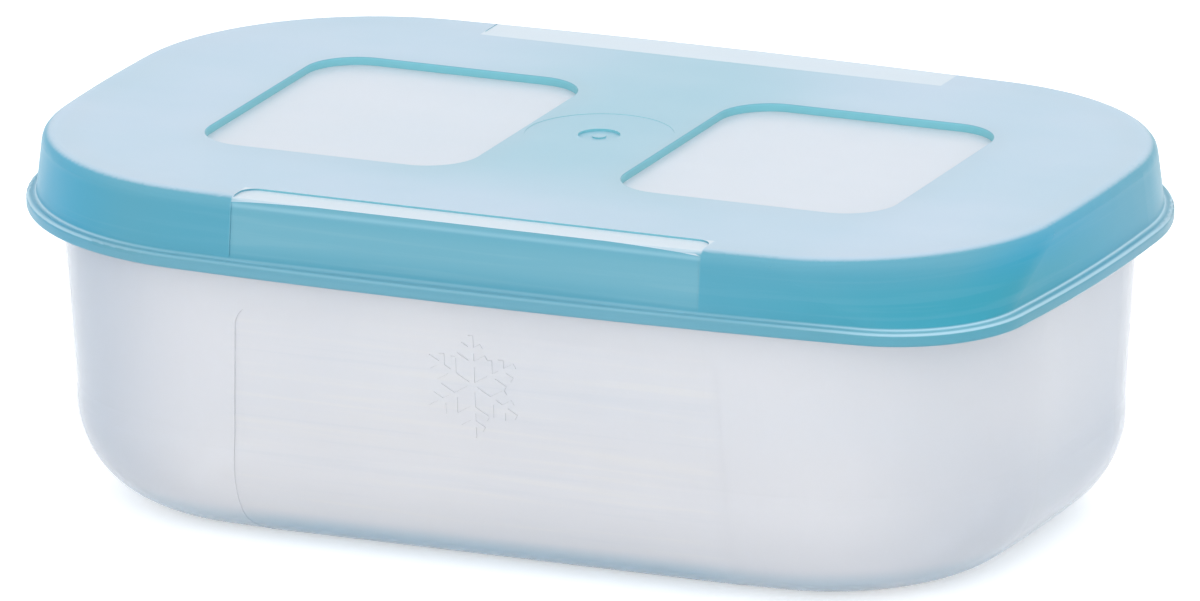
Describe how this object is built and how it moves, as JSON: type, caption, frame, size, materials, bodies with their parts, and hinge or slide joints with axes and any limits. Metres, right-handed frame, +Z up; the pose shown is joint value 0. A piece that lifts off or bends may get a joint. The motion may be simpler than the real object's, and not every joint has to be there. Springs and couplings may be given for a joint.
{
  "type": "snap-lid storage box",
  "caption": "Rounded rectangular freezer storage box with a translucent tub and a lift-off snap lid with clear window panes.",
  "frame": {"origin": "centre of the base, on the surface the box stands on", "axes": "+X along the long side to the right, +Y to the back, +Z up; the front with the snowflake panel faces -Y"},
  "size_m": [0.18, 0.117, 0.0604],
  "materials": {
    "tub_plastic": "translucent natural polypropylene, softly glossy",
    "lid_plastic": "translucent light blue-green polypropylene, softly glossy",
    "pane_plastic": "translucent near-colourless polypropylene, fine satin"
  },
  "bodies": {
    "box": {"box_body": "tub_plastic"},
    "lid": {"lid": "lid_plastic", "window_left": "pane_plastic", "window_right": "pane_plastic"}
  },
  "joints": [
    {"name": "lid_lift", "type": "slide", "parent": "box", "child": "lid", "axis": [0, 0, 1], "range_m": [0, 0.1]}
  ]
}
